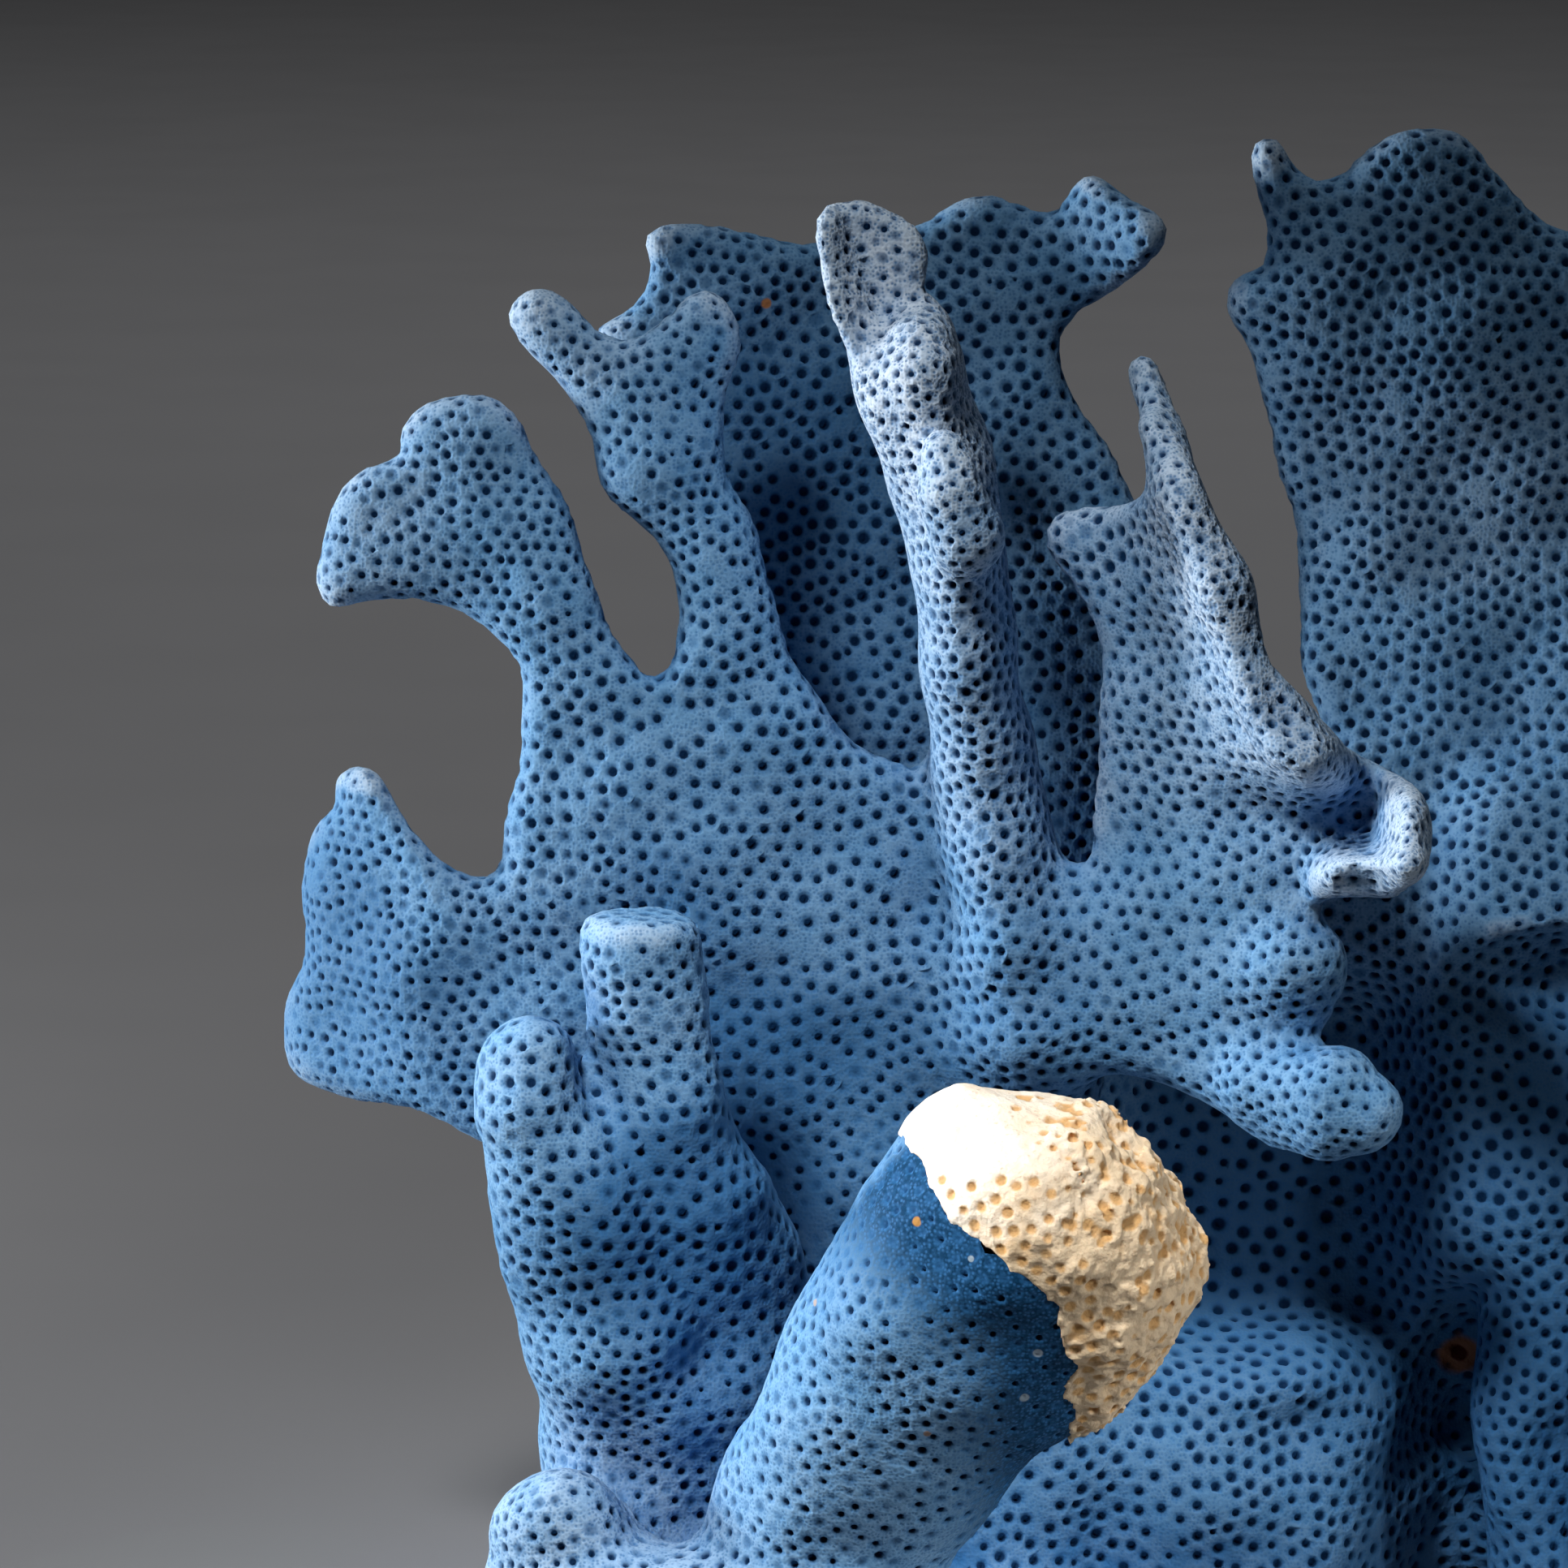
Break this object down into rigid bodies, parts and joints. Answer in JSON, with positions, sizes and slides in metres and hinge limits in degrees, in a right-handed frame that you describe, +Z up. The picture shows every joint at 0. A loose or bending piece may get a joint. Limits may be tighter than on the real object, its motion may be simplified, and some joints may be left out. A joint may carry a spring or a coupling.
{
  "type": "blue ridge coral",
  "caption": "Upright blue coral colony of thick pored blades, lobes and fingers grown from one foot, with a flat cut base.",
  "frame": {"origin": "middle of the flat cut underneath the foot, which the coral rests on", "axes": "+Z up, out of the foot; -Y towards the front, where the broken finger with the white crust leans; +X towards the tall right blade"},
  "size_m": [0.1132, 0.0774, 0.1044],
  "materials": {
    "base": "matt, pored",
    "left_lower_lobe": "matt, pored",
    "left_middle_lobe": "matt, pored",
    "left_upper_lobe": "matt, pored",
    "rear_blade": "matt, pored",
    "centre_fin": "matt, pored",
    "fan_blade": "matt, pored",
    "fan_cup": "matt, pored",
    "fan_finger": "matt, pored",
    "right_blade": "matt, pored",
    "front_left_finger": "matt, pored",
    "front_middle_finger": "matt, pored",
    "broken_finger": "matt, finely pitted",
    "white_crust": "matt, rough"
  },
  "bodies": {
    "root": {"base": "base", "left_lower_lobe": "left_lower_lobe", "left_middle_lobe": "left_middle_lobe", "left_upper_lobe": "left_upper_lobe", "rear_blade": "rear_blade", "centre_fin": "centre_fin", "fan_blade": "fan_blade", "fan_cup": "fan_cup", "fan_finger": "fan_finger", "right_blade": "right_blade", "front_left_finger": "front_left_finger", "front_middle_finger": "front_middle_finger", "broken_finger": "broken_finger", "white_crust": "white_crust"}
  },
  "joints": []
}
